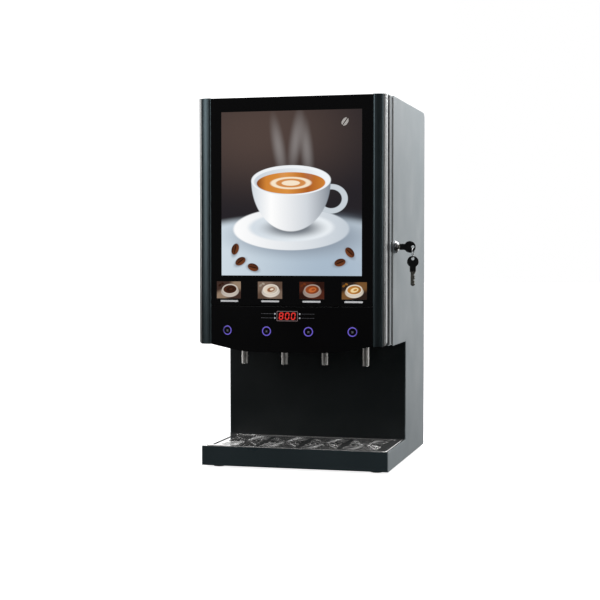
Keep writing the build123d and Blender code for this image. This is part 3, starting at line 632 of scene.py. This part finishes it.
def piece(name, mesh, body, material, soften=0.04, segments=2, smooth=False):
    """Turn a gathered mesh into a named piece that rides on a body."""
    bmesh.ops.recalc_face_normals(mesh, faces=mesh.faces)
    data = bpy.data.meshes.new(name)
    mesh.to_mesh(data)
    mesh.free()
    data.materials.append(material)
    made = bpy.data.objects.new(name, data)
    bpy.context.scene.collection.objects.link(made)
    if soften:
        bevel = made.modifiers.new("soften", "BEVEL")
        bevel.width = soften * MM
        bevel.segments = segments
        bevel.limit_method = "ANGLE"
    if smooth:
        data.shade_smooth()
    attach(made, body)
    return made


print_white = glow("print_white", (0.72, 0.73, 0.75), 0.35, rough=0.4)
print_dim = glow("print_dim", (0.16, 0.16, 0.18), 0.15, rough=0.4)
digit_red = glow("digit_red", srgb(232, 56, 50), 1.0, base=srgb(90, 10, 10))
border_grey = glow("border_grey", srgb(150, 128, 130), 0.45, rough=0.3)
ring_light = glow("ring_light", srgb(112, 96, 206), 1.0, base=srgb(60, 50, 120))
lamp_pale = glow("lamp_pale", srgb(176, 178, 184), 0.6, rough=0.3)
symbol_grey = glow("symbol_grey", srgb(120, 122, 132), 0.3, rough=0.3)
badge_silver = glow("badge_silver", srgb(176, 172, 168), 0.55, rough=0.3)

digit_width, digit_height, segment_thick, digit_pitch = 8.2, 13.0, 1.9, 11.2
digit_slant = 0.10
segments_on = {"8": "abcdefg", "0": "abcdef"}


def segment_outline(letter):
    """Pointed bar of a seven segment digit, centred on the digit."""
    half_w, half_h = digit_width / 2 - segment_thick / 2, digit_height / 2 - segment_thick / 2
    flat = {"a": (0, half_h), "g": (0, 0), "d": (0, -half_h)}
    upright = {"f": (-half_w, half_h / 2), "b": (half_w, half_h / 2), "e": (-half_w, -half_h / 2),
               "c": (half_w, -half_h / 2)}
    long_half = (half_w if letter in flat else half_h / 2) - 0.18
    tip = segment_thick / 2
    bar = [(long_half, 0), (long_half - tip, tip), (-long_half + tip, tip), (-long_half, 0),
           (-long_half + tip, -tip), (long_half - tip, -tip)]
    if letter in upright:
        bar = [(-z, x) for x, z in bar]
    centre = (flat | upright)[letter]
    points = [(x + centre[0], z + centre[1]) for x, z in bar]
    return [(x + digit_slant * z, z) for x, z in points]


lens_plate = Plate(Vector((case_x, lens_low.y, (lens_low.z + lens_high.z) / 2)))
digits = bmesh.new()
for place, figure in enumerate("800"):
    for letter in segments_on[figure]:
        outline = [(x + digit_pitch * (place - 1), z) for x, z in segment_outline(letter)]
        raise_outline(digits, lens_plate, outline)
piece("display_digits", digits, "door", digit_red)

frame_line = bmesh.new()
raise_outline(frame_line, lens_plate, rounded(38.8, 17.8, 1.2), rounded(37.2, 16.2, 0.6))
piece("display_border", frame_line, "door", border_grey)

indicator_rows = (289, 281.5)
lamps = bmesh.new()
dashes = bmesh.new()
for hand in (-1, 1):
    for z in indicator_rows:
        raise_outline(lamps, bow_plate(hand * 23, z), oval(3.0, 3.0), lift=0.3)
        for index in range(8):
            raise_outline(dashes, bow_plate(hand * (28 + 2.9 * index), z), rounded(2.1, 0.8, 0.3))
piece("indicator_lamps", lamps, "door", lamp_pale, soften=0.1)
piece("indicator_dashes", dashes, "door", print_dim)

ring_lift = 0.6
ring_bands = bmesh.new()
for number, drink in enumerate(drinks, start=1):
    x = (drink.x - case_x) / MM
    raise_outline(ring_bands, bow_plate(x, button_height / MM, ring_lift), oval(16.8, 16.8, steps=40),
                  oval(13.6, 13.6, steps=40))
    symbol = bmesh.new()
    face = bow_plate(x, button_height / MM, 1.0)
    raise_outline(symbol, face, [(1.6, 1.0), (-1.6, 1.0), (-1.1, -1.2), (1.1, -1.2)])
    raise_outline(symbol, face, sector(0.55, 0.95, -80, 80, 1.35, 0.1))
    raise_outline(symbol, face, rounded(4.2, 0.45, 0.2, 0, -1.9))
    piece(f"button_{number}_symbol", symbol, f"button_{number}", symbol_grey)
piece("ring_bands", ring_bands, "door", ring_light, soften=0)

label_height = 310.3
labels = bmesh.new()
for drink in drinks:
    plate = Plate(Vector((drink.x, glass_y, label_height * MM)))
    raise_outline(labels, plate, rounded(34, 3.2, 1.6))
piece("drink_labels", labels, "door", print_white)

badge = bmesh.new()
badge_plate = Plate(Vector((case_x + 100 * MM, film_low.y, 632 * MM)))
for side in (0, 180):
    bean_half = [point for point in oval(11, 16, 0, steps=40) if point[0] > 0.6]
    turned = Matrix.Rotation(math.radians(side - 35), 2)
    raise_outline(badge, badge_plate, [tuple(turned @ Vector(point)) for point in bean_half], lift=0.15)
piece("picture_badge", badge, "door", badge_silver)

# ================= fittings =================


def bar(mesh, low, high):
    """Add a bar between two corners to a gathered mesh."""
    bmesh.ops.create_cube(mesh, size=1, matrix=Matrix.LocRotScale((low + high) / 2, None, high - low))


# Black strips round the door: partly a rubber door seal in the gap behind it, partly painted shade, dark
# pieces that fill the groove behind the trim and line the door's sides where that groove and the gap lie in
# shade.
seal_and_shade_black = surface("seal_and_shade_black", (0.012, 0.012, 0.013), 0.55, specular=0.3, grain=1500, grain_depth=0.04,
                     edge=0.2)
strip_bottom, strip_top = 233, 679
shell_side, strip_side = 175.05, 175.9
shell_back, strip_back = 58.05, 61.5
seal_and_shade_strips = bmesh.new()
bar(seal_and_shade_strips, at(171.1, 12.2, strip_bottom + 5), at(174.4, 19.8, strip_top - 3))
bar(seal_and_shade_strips, at(shell_side, 20.3, strip_bottom), at(strip_side, 31, strip_top))
bar(seal_and_shade_strips, at(171.5, shell_back, strip_bottom), at(175.3, strip_back, strip_top))
bar(seal_and_shade_strips, at(shell_side, 52, strip_bottom), at(strip_side, strip_back, strip_top))
bar(seal_and_shade_strips, at(-150, shell_back, strip_top - 4), at(171.4, strip_back, strip_top))
piece("door_seal_and_shade", seal_and_shade_strips, "door", seal_and_shade_black, soften=0.25)

to_left, to_back = -math.pi / 2, math.pi
hinge_low, hinge_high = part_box("hinge_body_leaves")
leaf_half, leaf_screw_pitch, leaf_screw_size = 30, 20, 6
body_leaf_x, body_screw_y = -177.5, 80
door_leaf_x, door_screw_y = -176.5, 39
body_screws = bmesh.new()
door_screws = bmesh.new()
for hinge_z in (hinge_low.z / MM + leaf_half, hinge_high.z / MM - leaf_half):
    for step in (-1, 0, 1):
        z = hinge_z + leaf_screw_pitch * step
        screw_head(body_screws, Plate(at(body_leaf_x, body_screw_y, z), to_left), leaf_screw_size)
        screw_head(door_screws, Plate(at(door_leaf_x, door_screw_y, z), to_left), leaf_screw_size)
piece("hinge_body_screws", body_screws, "cabinet", screw_steel, soften=0.12)
piece("hinge_door_screws", door_screws, "door", screw_steel, soften=0.12)

cover_white = surface("cover_white", (0.62, 0.63, 0.63), 0.45, grain=1500, grain_depth=0.03, blotch=6)
cover_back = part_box("light_box")[1].y
cover_middle, cover_thick = 489, 0.9
cover_plate = Plate(Vector((case_x, cover_back, cover_middle * MM)), to_back)
cover = bmesh.new()
raise_outline(cover, cover_plate, rounded(282, 348, 8), lift=cover_thick)
piece("light_box_cover", cover, "door", cover_white, soften=0.3)
cover_screws = bmesh.new()
for hand in (-1, 1):
    for z in (-164, -55, 55, 164):
        plate = Plate(cover_plate.spot(131 * hand, z, cover_thick), to_back)
        screw_head(cover_screws, plate, 5.5, 0.8)
piece("light_box_screws", cover_screws, "door", screw_steel, soften=0.12)

label_paper = surface("label_paper", (0.74, 0.72, 0.66), 0.6, grain=900, grain_depth=0.02, blotch=30)
canister_labels = bmesh.new()
chamber_rims = bmesh.new()
powders = (srgb(54, 32, 22), srgb(150, 104, 66), srgb(92, 46, 26), srgb(206, 178, 134))
canister_label_z, paper_thick, chamber_z = 575, 0.2, 300
for number, (drink, powder) in enumerate(zip(drinks, powders), start=1):
    canister_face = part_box(f"canister_{number}")[0].y
    label_plate = Plate(Vector((drink.x, canister_face, canister_label_z * MM)))
    raise_outline(canister_labels, label_plate, rounded(50, 62, 4), lift=paper_thick)
    mark = bmesh.new()
    raise_outline(mark, Plate(label_plate.spot(0, 10, paper_thick)), oval(26, 26, steps=32), lift=0.15)
    raise_outline(mark, Plate(label_plate.spot(0, -18, paper_thick)), rounded(40, 7, 3), lift=0.15)
    mark_print = surface(f"powder_print_{number}", powder, 0.5, grain=900, blotch=40)
    piece(f"canister_{number}_mark", mark, "cabinet", mark_print)
    chamber = Plate(Vector((drink.x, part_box("mixing_bowls")[0].y, chamber_z * MM)))
    raise_outline(chamber_rims, chamber, oval(38, 38, steps=48), oval(34, 34, steps=48), 0.8)
piece("canister_labels", canister_labels, "cabinet", label_paper)
piece("mixer_caps", chamber_rims, "cabinet", bowl_plastic, soften=0.2)

swirl_rings = ((10, 2, 26), (20, 4, 18), (30, 5, 12))
swirl_caps = ((41, 52), (52, 38), (63, 31))
swirl_depth = 105
swirl_arcs = []
for radius, count, gap in swirl_rings:
    for index in range(count):
        start = 360 / count * index + radius * 2
        swirl_arcs.append((radius, start, start + 360 / count - gap))
for radius, half_turn in swirl_caps:
    for centre in (90, 270):
        swirl_arcs.append((radius, centre - half_turn, centre + half_turn))


def slot_outline(radius, start, end, half_width, centre, steps=14):
    """Outline of a curved slot with round ends, flat on the grid, in metres."""
    points = []
    for side, first, last in ((1, start, end), (-1, end, start)):
        for step in range(steps + 1):
            angle = math.radians(first + (last - first) * step / steps)
            reach = radius + side * half_width
            points.append((reach * math.cos(angle), reach * math.sin(angle)))
        tip = math.radians(last)
        for step in range(1, 6):
            turn = tip + side * math.pi * step / 6
            points.append((radius * math.cos(tip) + side * half_width * math.cos(turn),
                           radius * math.sin(tip) + side * half_width * math.sin(turn)))
    return [centre + Vector((x, y, 0)) * MM for x, y in points]


slot_half_width, rim_width, rim_height = 2.0, 0.7, 0.35
grid_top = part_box("drip_grid")[1].z
rims = bmesh.new()
for drink in drinks:
    centre = Vector((drink.x, at(0, swirl_depth, 0).y, grid_top))
    for radius, start, end in swirl_arcs:
        inner = slot_outline(radius, start, end, slot_half_width, centre)
        outer = slot_outline(radius, start, end, slot_half_width + rim_width, centre)
        crest = [(near + far) / 2 + Vector((0, 0, rim_height * MM)) for near, far in zip(inner, outer)]
        rings = [[rims.verts.new(point) for point in ring] for ring in (inner, crest, outer)]
        for index in range(len(inner)):
            after = (index + 1) % len(inner)
            for first, second in zip(rings, rings[1:] + rings[:1]):
                rims.faces.new((first[index], first[after], second[after], second[index]))
piece("grid_slot_rims", rims, "drip_grid", tray_steel, soften=0, smooth=True)

pad_tin = surface("pad_tin", (0.62, 0.63, 0.62), 0.3, metallic=1.0, grain=1500, blotch=120)
board_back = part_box("control_board")[1].y
pads = bmesh.new()
for column in range(-17, 18):
    for row in range(5):
        if (column * 7 + row * 5) % 4:
            raise_outline(pads, Plate(Vector((case_x, board_back, (249 + 9.4 * row) * MM)), to_back),
                          oval(2.2, 2.2, x=7 * column, steps=10), lift=0.3)
piece("control_board_pads", pads, "door", pad_tin)

# ================= studio =================

camera_place = at(646.7, -2414.7, 405.6)
camera_turn = 0.255
camera_dip = 0.037
camera = bpy.data.objects.new("camera", bpy.data.cameras.new("camera"))
bpy.context.scene.collection.objects.link(camera)
camera.location = camera_place
camera.rotation_euler = (math.pi / 2 - camera_dip, 0, camera_turn)
camera.data.lens = 83.06
camera.data.sensor_width = 36
camera.data.clip_end = 60
bpy.context.scene.camera = camera
bpy.context.scene.view_settings.view_transform = "Standard"

world = bpy.data.worlds.new("studio")
bpy.context.scene.world = world
world.use_nodes = True
sky = world.node_tree
sky.nodes.clear()
toward = add_node(sky, "SeparateXYZ", {"Vector": add_node(sky, "TexCoord").outputs["Generated"]})
behind = remap(sky, toward.outputs["Y"], -0.3, 0.7, 0.05, 0.95, smooth=True)
above = remap(sky, toward.outputs["Z"], -0.24, -0.02, 0.10, 1.0, smooth=True)
seen = add_node(sky, "LightPath").outputs["Is Camera Ray"]
glare = remap(sky, toward.outputs["X"], -0.10, -0.35, 1.0, 1.7, smooth=True)
room = calc(sky, "MULTIPLY", calc(sky, "MULTIPLY", behind, above), glare)
brightness = calc(sky, "MAXIMUM", room, seen)
backdrop = add_node(sky, "Background", {"Color": (1.0, 1.0, 1.0, 1.0), "Strength": brightness})
sky_output = add_node(sky, "OutputWorld")
sky.links.new(backdrop.outputs["Background"], sky_output.inputs["Surface"])


def area_light(name, place, aim, size, power):
    """Soft rectangular lamp aimed at a point."""
    lamp = bpy.data.lights.new(name, "AREA")
    lamp.shape = "RECTANGLE"
    lamp.size, lamp.size_y = size
    lamp.energy = power
    held = bpy.data.objects.new(name, lamp)
    held.location = place
    held.rotation_euler = (aim - place).to_track_quat("-Z", "Y").to_euler()
    bpy.context.scene.collection.objects.link(held)
    return held


middle = at(0, 150, 340)
area_light("left_softbox", at(-1150, -1300, 1000), middle, (0.9, 1.2), 6)
low_softbox = area_light("low_left_softbox", at(-960, -1300, 60), middle, (0.6, 0.5), 1.0)
low_softbox.visible_glossy = False
area_light("right_softbox", at(720, 720, 1020), at(190, 330, 600), (0.5, 0.5), 6.5)
front_softbox = area_light("front_right_softbox", at(1600, -1000, 800), middle, (0.5, 1.2), 3)
front_softbox.visible_glossy = False
area_light("front_right_strip", at(1500, -940, 780), middle, (0.4, 1.1), 3)
area_light("top_softbox", at(0, 0, 1900), middle, (1.4, 1.4), 22)

floor_mesh = bpy.data.meshes.new("floor")
floor_half = 14
floor_mesh.from_pydata([(-floor_half, -floor_half, 0), (floor_half, -floor_half, 0),
                        (floor_half, floor_half, 0), (-floor_half, floor_half, 0)], [], [(0, 1, 2, 3)])
floor = bpy.data.objects.new("floor", floor_mesh)
bpy.context.scene.collection.objects.link(floor)
floor.location = Vector((case_x, glass_y, cad_low.z - 0.05 * MM))
floor_material, floor_tree, floor_shader = blank_material("pale_floor")
paper = remap(floor_tree, noise(floor_tree, coordinates(floor_tree), 700, 3), 0.3, 0.7, 0.90, 0.93)
paper_color = add_node(floor_tree, "CombineXYZ", {"X": paper, "Y": paper, "Z": paper}).outputs["Vector"]
floor_tree.links.new(paper_color, floor_shader.inputs["Base Color"])
floor_shader.inputs["Roughness"].default_value = 0.7
floor_shader.inputs["Emission Color"].default_value = (1.0, 1.0, 1.0, 1.0)
floor_shader.inputs["Emission Strength"].default_value = 0.88
floor_mesh.materials.append(floor_material)
floor.visible_diffuse = False
floor.visible_glossy = False
